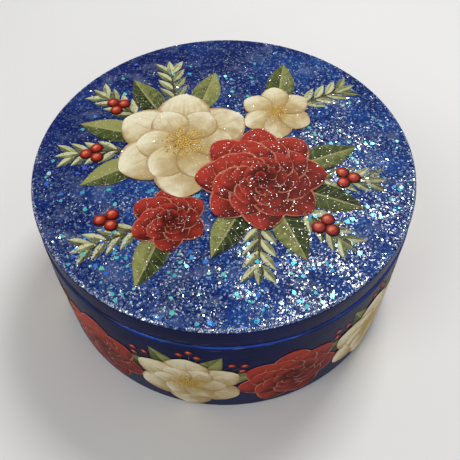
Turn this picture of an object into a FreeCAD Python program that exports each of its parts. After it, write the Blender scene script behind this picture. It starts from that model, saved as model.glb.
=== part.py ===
import FreeCAD, Part
import Sketcher
import math
import os

# A round board box with a lift-off lid, trimmed with paper flowers.
#
# The body is a board hoop round a base disc. A neck ring glued inside the hoop stands above its rim, and
# the lid's hoop drops over that neck and rests on the rim. The lid's top carries a cured glitter coat.
# Paper cut-outs are pasted in layers on the lid, as a bouquet, and round the wall, as a garland.
#
# Frame: millimetres, +Z up, origin on the axis at the underside of the base. The front faces -Y.

# Driving dimensions: name, value, what it measures.
SIZES = [
    ("body_diameter", 160.0, "outside of the body wall"),
    ("body_height", 58.4, "body wall, underside to rim"),
    ("body_wall", 3.0, "board of the body wall"),
    ("base_thickness", 3.0, "board of the base disc"),
    ("neck_wall", 2.0, "board of the neck ring"),
    ("neck_headroom", 0.7, "air between the neck's top and the lid's disc"),
    ("neck_lead", 0.8, "chamfer that leads the lid onto the neck"),
    ("glue_gap", 0.1, "glue line between glued pieces"),
    ("lid_clearance", 0.4, "air between the neck and the lid's hoop, on the radius"),
    ("ledge", 0.6, "body rim standing out past the lid, on the radius"),
    ("lid_height", 11.2, "lid's hoop, lower edge to upper edge"),
    ("lid_disc_thickness", 2.5, "board of the lid's top"),
    ("coat_thickness", 0.4, "cured glitter coat"),
    ("lid_top_edge", 0.8, "bevel of the lid hoop's upper edge"),
    ("shoulder_edge", 1.0, "bevel of the body wall's upper edge"),
    ("foot_edge", 0.8, "bevel of the body wall's lower edge"),
    ("paper", 0.12, "thickness of a paper cut-out"),
    ("paste", 0.03, "paste film between a cut-out on the wall and what is under it"),
    ("cream_x", -17.0, "large cream bloom on the lid, right of the axis"),
    ("cream_y", 10.0, "large cream bloom on the lid, behind the axis"),
    ("cream_petal_length", 30.0, "its petals, from its middle to their tips"),
    ("cream_petal_width", 24.0, "its petals, across"),
    ("red_x", 15.0, "large red bloom on the lid, right of the axis"),
    ("red_y", -10.0, "large red bloom on the lid, behind the axis"),
    ("red_petal_length", 27.0, "its petals, from its middle to their tips"),
    ("red_petal_width", 19.0, "its petals, across"),
    ("small_cream_x", 24.0, "small cream bloom on the lid, right of the axis"),
    ("small_cream_y", 27.0, "small cream bloom on the lid, behind the axis"),
    ("small_cream_petal_length", 16.0, "its petals, from its middle to their tips"),
    ("small_cream_petal_width", 13.0, "its petals, across"),
    ("small_red_x", -22.0, "small red bloom on the lid, right of the axis"),
    ("small_red_y", -30.0, "small red bloom on the lid, behind the axis"),
    ("small_red_petal_length", 15.5, "its petals, from its middle to their tips"),
    ("small_red_petal_width", 12.5, "its petals, across"),
    ("leaf_length", 29.0, "leaf on the lid, base to tip"),
    ("leaf_width", 13.0, "leaf on the lid, across the middle"),
    ("leaf_tuck", 12.0, "how far a leaf's base lies in under its bloom"),
    ("twig_length", 31.0, "stem of a twig on the lid, base to tip"),
    ("twig_stem", 1.0, "that stem, across the middle"),
    ("twig_tuck", 12.0, "how far a twig's base lies in under its bloom"),
    ("leaflet_length", 10.5, "leaflet of a twig, base to tip"),
    ("leaflet_width", 3.6, "leaflet of a twig, across the middle"),
    ("leaflet_first", 10.0, "base of a twig to its first pair of leaflets"),
    ("leaflet_last", 4.0, "last pair of leaflets to the stem's tip"),
    ("leaflet_spread", 38.0, "angle of a leaflet to its stem, in degrees"),
    ("berry_radius", 2.8, "berry of a cluster"),
    ("berry_reach", 3.0, "middle of a cluster to the middle of a berry"),
    ("berry_gap", 8.0, "edge of a bloom on the lid to the middle of a cluster"),
    ("garland_height", 24.0, "middle of the garland's blooms above the base"),
    ("wall_cream_petal_length", 23.0, "cream bloom on the wall, its petals from its middle to their tips"),
    ("wall_cream_petal_width", 18.8, "those petals, across"),
    ("wall_red_petal_length", 22.5, "red bloom on the wall, its petals from its middle to their tips"),
    ("wall_red_petal_width", 16.8, "those petals, across"),
    ("wall_leaf_length", 30.0, "leaf on the wall, base to tip"),
    ("wall_leaf_width", 12.0, "leaf on the wall, across the middle"),
]

# The largest share of a board's thickness that a bevel on it takes up.
BEVEL_SHARE = 0.4

# Sizes that several pieces share, worked out from the driving ones.
SHARED = [
    ("body_radius", "=body_diameter / 2"),
    ("body_bore", "=body_radius - body_wall"),
    ("neck_radius", "=body_bore - glue_gap"),
    ("neck_bore", "=neck_radius - neck_wall"),
    ("lid_radius", "=body_radius - ledge"),
    ("lid_bore", "=neck_radius + lid_clearance"),
    ("hoop_top", "=body_height + lid_height"),
    ("disc_underside", "=hoop_top - lid_disc_thickness"),
    ("neck_top", "=disc_underside - neck_headroom"),
    ("lid_top", "=hoop_top + coat_thickness"),
    ("shoulder_bevel", f"=min(shoulder_edge; {BEVEL_SHARE} * body_wall)"),
    ("foot_bevel", f"=min(foot_edge; {BEVEL_SHARE} * body_wall)"),
    ("hoop_top_bevel", f"=min(lid_top_edge; {BEVEL_SHARE} * (lid_radius - lid_bore))"),
    ("neck_bevel", f"=min(neck_lead; {BEVEL_SHARE} * neck_wall)"),
    ("coat_radius", "=lid_radius - hoop_top_bevel"),
]

# Shares of a blade's length at which its outline has points, and the step round a small round in degrees.
LEAF_STATIONS = (0.19, 0.46, 0.76)
LEAFLET_STATIONS = (0.42,)
PETAL_STATIONS = (0.3, 0.55, 0.72, 0.86, 0.95)
WALL_LEAF_STATIONS = (0.3, 0.65)
WALL_PETAL_STATIONS = (0.6, 0.86)
ROUND_STEP = 45

# Edges closer than this to a place, in millimetres, are at that place.
SAME_PLACE = 1e-6

# How many petals, leaflets, berries and garland repeats there are.
PETAL_COUNTS = {"cream": 6, "red": 8, "small_cream": 6, "small_red": 6, "wall_cream": 6, "wall_red": 7}
LEAFLET_PAIRS = 4
BERRIES = 3
GARLAND_REPEATS = 6

# Layers of paper, counted outwards from the surface that carries them.
LID_LAYERS = {"twig": 0, "leaf": 1, "berries": 2, "small_cream": 3, "small_red": 3, "cream": 4, "red": 5}
WALL_LAYERS = {"leaf_spray": 0, "red_bloom": 1, "cream_bloom": 2}

# Directions, in degrees from +X towards +Y, in which the greenery points away from each bloom on the lid.
TWIG_DIRECTIONS = {"cream": (98, 140, 186), "red": (-94, -48, -4), "small_cream": (24,), "small_red": (202,)}
LEAF_DIRECTIONS = {
    "cream": (72, 120, 164, 208),
    "red": (-118, -70, -24, 20),
    "small_cream": (80,),
    "small_red": (250,),
}
BERRY_DIRECTIONS = {"cream": (141, 187), "red": (-47, -3), "small_red": (180,)}

# Directions, in degrees from straight up, of the leaves in a spray on the wall.
SPRAY_DIRECTIONS = (-70, -28, 28, 70)

# The front of the wall, in degrees from +X towards +Y.
FRONT = -90

# Turn of the garland's first cream bloom from the front, in degrees towards -X.
GARLAND_START = 12

doc = FreeCAD.newDocument("flower_box")
nodes = []


def add_sizes():
    """The sheet of driving dimensions, with the shared sizes below them."""
    sheet = doc.addObject("Spreadsheet::Sheet", "sizes")
    for row, (name, size, meaning) in enumerate(SIZES, start=1):
        sheet.set(f"A{row}", meaning)
        sheet.set(f"B{row}", str(size))
        sheet.setAlias(f"B{row}", name)
    for row, (name, formula) in enumerate(SHARED, start=len(SIZES) + 1):
        sheet.set(f"B{row}", formula)
        sheet.setAlias(f"B{row}", name)
    doc.recompute()


def value(formula):
    return doc.sizes.evalExpression(formula)


def bind(item, **formulas):
    """Ties properties of an item to formulas; two underscores in a name stand for a dot."""
    for name, formula in formulas.items():
        item.setExpression(name.replace("__", "."), formula)


def turned(degrees):
    """A placement turned about the upright axis."""
    return FreeCAD.Placement(FreeCAD.Vector(0, 0, 0), FreeCAD.Rotation(FreeCAD.Vector(0, 0, 1), degrees))


def new_body(label):
    body = doc.addObject("PartDesign::Body", label)
    body.Label = label
    return body


def origin_feature(body, role):
    return next(f for f in body.Origin.OriginFeatures if f.Role == role)


def new_sketch(body, name, plane):
    """A sketch on one of the body's own origin planes."""
    sketch = body.newObject("Sketcher::SketchObject", f"{body.Name}_{name}")
    sketch.AttachmentSupport = [(origin_feature(body, plane), "")]
    sketch.MapMode = "FlatFace"
    return sketch


def add_size(sketch, kind, *places, formula):
    """A constraint on the sketch whose value follows a formula."""
    index = sketch.addConstraint(Sketcher.Constraint(kind, *places, value(formula)))
    sketch.setExpression(f"Constraints[{index}]", formula)


def vector(x, y):
    return FreeCAD.Vector(x, y, 0)


def circle_profile(sketch, radius):
    """A circle about the sketch's origin."""
    centre = vector(0, 0)
    sketch.addGeometry(Part.Circle(centre, FreeCAD.Vector(0, 0, 1), value(radius)), False)
    sketch.addConstraint(Sketcher.Constraint("Coincident", 0, 3, -1, 1))
    add_size(sketch, "Radius", 0, formula=radius)


def section_profile(sketch, inner, outer, low, high):
    """An upright rectangle: the section of a hoop of board."""
    x0, x1, z0, z1 = (value(formula) for formula in (inner, outer, low, high))
    corners = [vector(x0, z0), vector(x1, z0), vector(x1, z1), vector(x0, z1)]
    for i, corner in enumerate(corners):
        sketch.addGeometry(Part.LineSegment(corner, corners[(i + 1) % 4]), False)
    for i, kind in enumerate(("Horizontal", "Vertical", "Horizontal", "Vertical")):
        sketch.addConstraint(Sketcher.Constraint("Coincident", i, 2, (i + 1) % 4, 1))
        sketch.addConstraint(Sketcher.Constraint(kind, i))
    add_size(sketch, "DistanceX", -1, 1, 0, 1, formula=inner)
    add_size(sketch, "DistanceX", -1, 1, 0, 2, formula=outer)
    add_size(sketch, "DistanceY", -1, 1, 0, 1, formula=low)
    add_size(sketch, "DistanceY", -1, 1, 2, 1, formula=high)


def mirrored_profile(sketch, half):
    """A closed outline, alike on both sides of the sketch's Y axis.

    half lists the x and y formulas of its right side, from a base on that axis to a tip on it.
    """
    right = [vector(value(x), value(y)) for x, y in half]
    left = [vector(-point.x, point.y) for point in right[-2:0:-1]]
    points = right + left
    count = len(points)
    tip = len(right) - 1
    for i, point in enumerate(points):
        sketch.addGeometry(Part.LineSegment(point, points[(i + 1) % count]), False)
    for i in range(count):
        sketch.addConstraint(Sketcher.Constraint("Coincident", i, 2, (i + 1) % count, 1))
    for i, (x, y) in enumerate(half):
        add_size(sketch, "DistanceY", -1, 1, i, 1, formula=y)
        if i in (0, tip):
            sketch.addConstraint(Sketcher.Constraint("PointOnObject", i, 1, -2))
        else:
            add_size(sketch, "DistanceX", -1, 1, i, 1, formula=x)
            sketch.addConstraint(Sketcher.Constraint("Symmetric", i, 1, count - i, 1, -2))


def blade(length, width, stations, fullness, roundness):
    """Half the outline of a leaf or petal from the origin up, at those shares of its length.

    Its width follows a sine over its length: fullness above 1 moves the widest place towards the tip,
    and roundness below 1 blunts both ends.
    """
    half = [("0", "0")]
    for share in stations:
        swell = math.sin(math.pi * share**fullness) ** roundness
        half.append((f"{swell:.4f} * {width} / 2", f"{share} * {length}"))
    half.append(("0", length))
    return half


def leaf_profile(sketch, length, width, stations):
    mirrored_profile(sketch, blade(length, width, stations, fullness=0.9, roundness=1))


def petal_profile(sketch, length, width, stations):
    mirrored_profile(sketch, blade(length, width, stations, fullness=1.3, roundness=0.6))


def round_profile(sketch, radius, reach="0"):
    """A small round outline with few sides, its middle up the sketch's Y axis."""
    half = []
    for degrees in range(-90, 91, ROUND_STEP):
        half.append((f"{radius} * cos({degrees})", f"{reach} + {radius} * sin({degrees})"))
    mirrored_profile(sketch, half)


def pad(body, sketch, length):
    feature = body.newObject("PartDesign::Pad", f"{sketch.Name}_pad")
    feature.Profile = sketch
    bind(feature, Length=length)
    return feature


def bevel(body, radius, height, size):
    """A bevel on the body's round edge at that radius and height."""
    doc.recompute()
    base = body.Tip
    place = (value(radius), value(height))
    edges = []
    for i, edge in enumerate(base.Shape.Edges, start=1):
        if isinstance(edge.Curve, Part.Circle):
            found = (edge.Curve.Radius, edge.Curve.Center.z)
            if math.dist(found, place) < SAME_PLACE:
                edges.append(f"Edge{i}")
    feature = body.newObject("PartDesign::Chamfer", f"{body.Name}_bevel_{len(body.Group)}")
    feature.Base = (base, edges)
    bind(feature, Size=size)
    body.Tip = feature


def hoop(label, inner, outer, low, high):
    """A hoop of board: an upright section turned about the axis."""
    body = new_body(label)
    sketch = new_sketch(body, "section", "XZ_Plane")
    section_profile(sketch, inner, outer, low, high)
    turn = body.newObject("PartDesign::Revolution", f"{label}_turn")
    turn.Profile = sketch
    turn.ReferenceAxis = (sketch, ["V_Axis"])
    turn.Angle = 360
    nodes.append(body)
    return body


def disc(label, radius, thickness, low):
    """A flat round plate with its underside at a height."""
    body = new_body(label)
    sketch = new_sketch(body, "outline", "XY_Plane")
    circle_profile(sketch, radius)
    bind(sketch, AttachmentOffset__Base__z=low)
    pad(body, sketch, thickness)
    nodes.append(body)
    return body


def add_body():
    """The wall, the base inside it, and the neck that stands on the base and above the wall."""
    wall = hoop("body_wall", "sizes.body_bore", "sizes.body_radius", "0", "sizes.body_height")
    bevel(wall, "sizes.body_radius", "sizes.body_height", "sizes.shoulder_bevel")
    bevel(wall, "sizes.body_radius", "0", "sizes.foot_bevel")
    disc("base_disc", "sizes.neck_radius", "sizes.base_thickness", "0")
    neck = hoop("neck_ring", "sizes.neck_bore", "sizes.neck_radius", "sizes.base_thickness", "sizes.neck_top")
    bevel(neck, "sizes.neck_radius", "sizes.neck_top", "sizes.neck_bevel")


def add_lid():
    """The lid's hoop, the disc set in it, and the coat over both."""
    rim = hoop("lid_hoop", "sizes.lid_bore", "sizes.lid_radius", "sizes.body_height", "sizes.hoop_top")
    bevel(rim, "sizes.lid_radius", "sizes.hoop_top", "sizes.hoop_top_bevel")
    disc("lid_disc", "sizes.lid_bore - sizes.glue_gap", "sizes.lid_disc_thickness", "sizes.disc_underside")
    disc("glitter_coat", "sizes.coat_radius", "sizes.coat_thickness", "sizes.hoop_top")


def add_ring(body, axis, original, count):
    """Copies of a feature in a full ring about one of the body's axes."""
    ring = body.newObject("PartDesign::PolarPattern", f"{body.Name}_ring")
    ring.Originals = [original]
    ring.Axis = (origin_feature(body, axis), [""])
    ring.Angle = 360
    ring.Occurrences = count
    body.Tip = ring


def add_bloom(body, plane, axis, kind, stations, depth):
    """An open bloom: one petal, repeated about the middle."""
    sketch = new_sketch(body, "petal", plane)
    petal_profile(sketch, f"sizes.{kind}_petal_length", f"sizes.{kind}_petal_width", stations)
    add_ring(body, axis, pad(body, sketch, depth), PETAL_COUNTS[kind])


def lid_cutout(label, piece, bloom, direction=90, from_edge=None):
    """A body for a cut-out on its layer of the lid: at a bloom's middle, or by its edge, pointing away."""
    body = new_body(label)
    body.Placement = turned(direction - 90)
    seat = "0"
    if from_edge:
        seat = f"(sizes.{bloom}_petal_length + {from_edge})"
    bind(
        body,
        Placement__Base__x=f"sizes.{bloom}_x + {seat} * cos({direction})",
        Placement__Base__y=f"sizes.{bloom}_y + {seat} * sin({direction})",
        Placement__Base__z=f"sizes.lid_top + {LID_LAYERS[piece]} * sizes.paper",
    )
    nodes.append(body)
    return body


def lid_leaf(label, bloom, direction):
    body = lid_cutout(label, "leaf", bloom, direction, "-sizes.leaf_tuck")
    sketch = new_sketch(body, "outline", "XY_Plane")
    leaf_profile(sketch, "sizes.leaf_length", "sizes.leaf_width", LEAF_STATIONS)
    pad(body, sketch, "sizes.paper")


def lid_twig(label, bloom, direction):
    """A slender stem with one leaflet at its tip and pairs of leaflets along it."""
    body = lid_cutout(label, "twig", bloom, direction, "-sizes.twig_tuck")
    stem = new_sketch(body, "stem", "XY_Plane")
    leaf_profile(stem, "sizes.twig_length", "sizes.twig_stem", LEAFLET_STATIONS)
    pad(body, stem, "sizes.paper")

    def leaflet(name, place, angle):
        sketch = new_sketch(body, name, "XY_Plane")
        leaf_profile(sketch, "sizes.leaflet_length", "sizes.leaflet_width", LEAFLET_STATIONS)
        bind(sketch, AttachmentOffset__Base__y=place, AttachmentOffset__Rotation__Angle=angle)
        return pad(body, sketch, "sizes.paper")

    leaflet("tip_leaflet", "sizes.twig_length - sizes.leaflet_length / 2", "0")
    left = leaflet("left_leaflet", "sizes.leaflet_first", "sizes.leaflet_spread")
    right = leaflet("right_leaflet", "sizes.leaflet_first", "-sizes.leaflet_spread")
    row = body.newObject("PartDesign::LinearPattern", f"{label}_row")
    row.Originals = [left, right]
    row.Direction = (origin_feature(body, "Y_Axis"), [""])
    bind(row, Length="sizes.twig_length - sizes.leaflet_first - sizes.leaflet_last")
    row.Occurrences = LEAFLET_PAIRS
    body.Tip = row


def lid_berries(label, bloom, direction):
    """A bunch of berries round the hub where their stalks meet."""
    body = lid_cutout(label, "berries", bloom, direction, "sizes.berry_gap")
    hub = new_sketch(body, "hub", "XY_Plane")
    round_profile(hub, "sizes.berry_reach")
    pad(body, hub, "sizes.paper")
    berry = new_sketch(body, "berry", "XY_Plane")
    round_profile(berry, "sizes.berry_radius", "sizes.berry_reach")
    add_ring(body, "Z_Axis", pad(body, berry, "sizes.paper"), BERRIES)


def add_lid_bouquet():
    """The bouquet on the lid: four blooms, each with its greenery and berries."""
    for bloom in ("cream", "red", "small_cream", "small_red"):
        body = lid_cutout(f"lid_{bloom}_bloom", bloom, bloom)
        add_bloom(body, "XY_Plane", "Z_Axis", bloom, PETAL_STATIONS, "sizes.paper")
    for make, piece, directions in (
        (lid_twig, "twig", TWIG_DIRECTIONS),
        (lid_leaf, "leaf", LEAF_DIRECTIONS),
        (lid_berries, "berries", BERRY_DIRECTIONS),
    ):
        places = [(bloom, direction) for bloom, around in directions.items() for direction in around]
        for i, (bloom, direction) in enumerate(places, start=1):
            make(f"lid_{piece}_{i}", bloom, direction)


def add_paper_band(piece, seam):
    """The thin shell round the wall, with its seam at an angle, from which one layer of cut-outs is taken."""
    layers = WALL_LAYERS[piece]
    inner = f"sizes.body_radius + sizes.paste + {layers} * (sizes.paper + sizes.paste)"
    band = doc.addObject("Part::Cut", f"{piece}_band")
    for role, radius in (("Base", f"{inner} + sizes.paper"), ("Tool", inner)):
        core = doc.addObject("Part::Cylinder", f"{piece}_{role.lower()}")
        core.Placement = turned(seam)
        bind(core, Radius=radius, Height="sizes.body_height")
        setattr(band, role, core)
    return band


def new_stamp(piece, height):
    """A body for a flat outline that is pushed from the axis out through the front of the wall."""
    stamp = new_body(f"{piece}_stamp")
    bind(stamp, Placement__Base__z=height)
    return stamp


def leaf_spray_stamp():
    stamp = new_stamp("leaf_spray", "sizes.garland_height")
    for i, direction in enumerate(SPRAY_DIRECTIONS, start=1):
        sketch = new_sketch(stamp, f"leaf_{i}", "XZ_Plane")
        leaf_profile(sketch, "sizes.wall_leaf_length", "sizes.wall_leaf_width", WALL_LEAF_STATIONS)
        bind(sketch, AttachmentOffset__Rotation__Angle=str(direction))
        pad(stamp, sketch, "sizes.body_diameter")
    return stamp


def bloom_stamp(kind):
    stamp = new_stamp(f"{kind}_bloom", "sizes.garland_height")
    add_bloom(stamp, "XZ_Plane", "Y_Axis", f"wall_{kind}", WALL_PETAL_STATIONS, "sizes.body_diameter")
    return stamp


def wrap_round(piece, stamp, start):
    """Copies of a stamp's outline cut from its paper band, evenly round the wall from a start angle."""
    pitch = 360 / GARLAND_REPEATS
    band = add_paper_band(piece, FRONT + start + pitch / 2)
    for i in range(GARLAND_REPEATS):
        label = f"wall_{piece}_{i + 1}"
        copy = doc.addObject("App::Link", f"{label}_stamp")
        copy.LinkedObject = stamp
        copy.Placement = turned(start + pitch * i)
        bind(copy, Placement__Base__z=f"{stamp.Name}.Placement.Base.z")
        cutout = doc.addObject("Part::Common", label)
        cutout.Label = label
        cutout.Base = band
        cutout.Tool = copy
        nodes.append(cutout)


def add_garland():
    """The garland round the wall: cream and red blooms in turn, with leaves behind the cream ones."""
    pitch = 360 / GARLAND_REPEATS
    wrap_round("leaf_spray", leaf_spray_stamp(), -GARLAND_START)
    wrap_round("cream_bloom", bloom_stamp("cream"), -GARLAND_START)
    wrap_round("red_bloom", bloom_stamp("red"), pitch / 2 - GARLAND_START)


def check():
    """Stops if a feature failed, or a sub-part is empty, broken or in more than one piece."""
    doc.recompute()
    for item in doc.Objects:
        if {"Invalid", "Error"} & set(item.State):
            raise RuntimeError(f"{item.Name} failed: {item.State}")
    for node in nodes:
        shape = node.Shape
        if shape.isNull() or not shape.isValid() or len(shape.Solids) != 1 or shape.Volume <= 0:
            raise RuntimeError(f"{node.Label} is not one sound solid")


def write():
    os.makedirs("parts", exist_ok=True)
    for node in nodes:
        node.Shape.exportStep(f"parts/{node.Label}.step")
    print(f"{len(nodes)} sub-parts written")


add_sizes()
add_body()
add_lid()
add_lid_bouquet()
add_garland()
check()
write()
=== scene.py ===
import math
import random

import bpy
import numpy as np
from mathutils import Matrix, Vector


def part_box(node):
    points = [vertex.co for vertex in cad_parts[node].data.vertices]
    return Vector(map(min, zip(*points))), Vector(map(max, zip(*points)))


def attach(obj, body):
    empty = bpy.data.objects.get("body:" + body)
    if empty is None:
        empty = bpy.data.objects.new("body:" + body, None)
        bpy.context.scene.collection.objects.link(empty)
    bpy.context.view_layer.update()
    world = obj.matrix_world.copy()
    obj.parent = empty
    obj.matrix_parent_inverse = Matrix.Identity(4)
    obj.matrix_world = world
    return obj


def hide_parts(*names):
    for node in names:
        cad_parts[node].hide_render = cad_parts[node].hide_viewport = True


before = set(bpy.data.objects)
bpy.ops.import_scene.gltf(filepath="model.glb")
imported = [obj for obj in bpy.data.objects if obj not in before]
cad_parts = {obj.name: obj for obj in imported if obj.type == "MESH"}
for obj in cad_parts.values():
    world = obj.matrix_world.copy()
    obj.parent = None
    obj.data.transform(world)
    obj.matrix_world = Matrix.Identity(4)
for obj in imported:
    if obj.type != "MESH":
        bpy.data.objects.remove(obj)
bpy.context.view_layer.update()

# The looks of a round board box with a glittered lid and pasted paper flowers.
# Sizes are in millimetres, in the frame of the CAD model, and meshes are written in metres.
MM = 0.001
SEED = 11
random.seed(SEED)
chance = np.random.default_rng(SEED)


# Sizes read from the CAD model


def outer_radius(node):
    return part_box(node)[1].x / MM


def heights(node):
    low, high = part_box(node)
    return low.z / MM, high.z / MM


def bloom_place(kind):
    """Middle of a bloom on the lid, and the length of its petals."""
    low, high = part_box(f"lid_{kind}_bloom")
    middle = (low + high) / 2 / MM
    return (middle.x, middle.y), (high.y - low.y) / 2 / MM


# Gap for glue round what is set in a hoop, as in the CAD model.
GLUE_GAP = 0.1

BODY_RADIUS = outer_radius("body_wall")
BODY_BORE = outer_radius("neck_ring") + GLUE_GAP
LID_RADIUS = outer_radius("lid_hoop")
LID_BORE = outer_radius("lid_disc") + GLUE_GAP
COAT_RADIUS = outer_radius("glitter_coat")
BODY_HEIGHT = heights("body_wall")[1]
HOOP_TOP, LID_TOP = heights("glitter_coat")
BLOOMS = {kind: bloom_place(kind) for kind in ("cream", "red", "small_cream", "small_red")}
GARLAND_HEIGHT = sum(heights("wall_cream_bloom_1")) / 2
WALL_PETAL_LENGTH = {
    colour: heights(f"wall_{colour}_bloom_1")[1] - GARLAND_HEIGHT for colour in ("cream", "red")
}

# Sizes repeated from the CAD model
PETAL_WIDTH = {
    "cream": 24.0, "red": 19.0, "small_cream": 13.0, "small_red": 12.5, "wall_cream": 18.8, "wall_red": 16.8,
}
LEAF_SIZE = (29.0, 13.0)
LEAF_TUCK = 12.0
TWIG_LENGTH = 31.0
TWIG_STEM = 1.0
TWIG_TUCK = 12.0
LEAFLET_SIZE = (10.5, 3.6)
LEAFLET_FIRST = 10.0
LEAFLET_LAST = 4.0
LEAFLET_SPREAD = 38
LEAFLET_PAIRS = 4
BERRIES = 3
BERRY_RADIUS = 2.8
BERRY_REACH = 3.0
BERRY_GAP = 8.0
WALL_LEAF_SIZE = (30.0, 12.0)
GARLAND_REPEATS = 6
GARLAND_START = 12

# Fullness and roundness of a blade's outline.
LEAF = (0.9, 1.0)
PETAL = (1.3, 0.6)

# Directions of the greenery about the lid's blooms, in degrees from +X.
TWIG_DIRECTIONS = {"cream": (98, 140, 186), "red": (-94, -48, -4), "small_cream": (24,), "small_red": (202,)}
LEAF_DIRECTIONS = {
    "cream": (72, 120, 164, 208),
    "red": (-118, -70, -24, 20),
    "small_cream": (80,),
    "small_red": (250,),
}
BERRY_DIRECTIONS = {"cream": (141, 187), "red": (-47, -3), "small_red": (180,)}

# Directions of the leaves in a spray on the wall, in degrees from straight up.
SPRAY_DIRECTIONS = (-70, -28, 28, 70)

# Paper, the paste under it on the wall, and the layers it lies in.
PAPER = 0.12
PASTE = 0.03
LID_LAYERS = {"twig": 0, "leaf": 1, "berries": 2, "small_cream": 3, "small_red": 3, "cream": 4, "red": 5}
WALL_LAYERS = {"leaf_spray": 0, "red_bloom": 1, "cream_bloom": 2}

# Sizes of the looks alone

# Rounds of the hoops' corners: inner low, outer low, outer high, inner high.
BODY_CORNERS = (0.2, 0.9, 1.1, 0.3)
LID_CORNERS = (0.2, 0.3, 0.8, 0.2)

# The coat rolls over the hoop's upper edge: the round of that edge, the coat's own round and where it starts.
EDGE_ROUND = LID_RADIUS - COAT_RADIUS
COAT_ROUND = EDGE_ROUND + LID_TOP - HOOP_TOP
COAT_FLAT = LID_RADIUS - COAT_ROUND

# The angle in degrees where the coat ends on the round, how deep its underside lies in the hoop, and how far
# inside the round a ring of points keeps the middle flat.
COAT_END = 30
COAT_SINK = 0.05
COAT_RING = 0.3

# Share of the coat's round that glitter covers, and how far from the axis that is.
GLITTER_COVER = 0.8
GLITTER_REACH = COAT_FLAT + GLITTER_COVER * COAT_ROUND

# Thickness of a print's lowest form, and the step up to a form that is printed over it.
PRINT = 0.05
STEP = 0.018

# Finer steps between forms of one kind that overlap, and lifts of what lies over them.
LEAFLET_STEP = 0.004
BERRY_STEP = 0.006
SPRAY_STEP = 0.01
TIP_LIFT = 0.02
STEM_LIFT = 0.03
HEAD_LIFT = 0.01
CLUSTER_LIFT = 0.012

# How far one side of a petal rises over its midline, and how far the middle of a round form rises.
PETAL_TILT = 0.007
BERRY_DOME = 0.05
SMALL_DOME = 0.03
BUD_DOME = 0.02

# Chance turns of the inner petals, in degrees, and their chance stretch.
PETAL_SWAY = 3
PETAL_STRETCH = (0.94, 1.04)

# Rings of petals in each bloom, from the outermost: count, then length and width as shares of the outermost.
RINGS = {
    "red": ((8, 1.0, 1.0), (8, 0.8, 0.92), (7, 0.6, 0.8), (6, 0.42, 0.62), (5, 0.26, 0.42)),
    "small_red": ((6, 1.0, 1.0), (6, 0.76, 0.86), (5, 0.52, 0.68), (4, 0.3, 0.46)),
    "wall_red": ((7, 1.0, 1.0), (7, 0.78, 0.88), (6, 0.56, 0.7), (5, 0.34, 0.48)),
    "cream": ((6, 1.0, 1.0), (6, 0.7, 0.72)),
    "small_cream": ((6, 1.0, 1.0),),
    "wall_cream": ((6, 1.0, 1.0), (6, 0.66, 0.7)),
}

# Small berries in the sprays on the wall: directions of their bunches in degrees from straight up, and then,
# in a bunch, a berry's turn from that direction and its distance from the spray's middle.
SPRAY_BUNCHES = (-49, 2, 49)
SPRAY_BERRIES = ((-6, 26.0), (2, 29.0), (9, 25.5))
SPRAY_BERRY_RADIUS = 1.7
SPRAY_STALK = 0.8

# Small dark leaflets printed behind those of a twig: their size, their angle to the stem in degrees, how far
# they are set back, in shares of the leaflets' pitch, and their tone.
BACK_LEAFLET_SIZE = (9.0, 2.4)
BACK_LEAFLET_SPREAD = 22
BACK_LEAFLET_SHIFT = 0.4
BACK_LEAFLET_TONE = -0.6

# The bud of a red bloom. Radii, reaches and widths in a bloom's middle are shares of its petals' length.
BUD_RADIUS = 0.09
BUD_TONE = 0.2

# Threads in a cream bloom, their chance turn in degrees, and their heads.
THREADS = 26
THREAD_REACH = (0.2, 0.32)
THREAD_WIDTH = 0.03
THREAD_SWAY = 5
HEAD_RADIUS = 0.024

# The cluster of small heads, and the turn from one to the next in radians.
CLUSTER_COUNT = 22
CLUSTER_REACH = 0.1
CLUSTER_RADIUS = 0.03
GOLDEN_TURN = math.pi * (3 - math.sqrt(5))


def srgb(red, green, blue):
    """A colour given as it looks on a screen, 0 to 255, as the linear colour that a shader takes."""
    def linear(part):
        part /= 255
        return part / 12.92 if part <= 0.04045 else ((part + 0.055) / 1.055) ** 2.4
    return (linear(red), linear(green), linear(blue), 1.0)


# Materials


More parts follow.
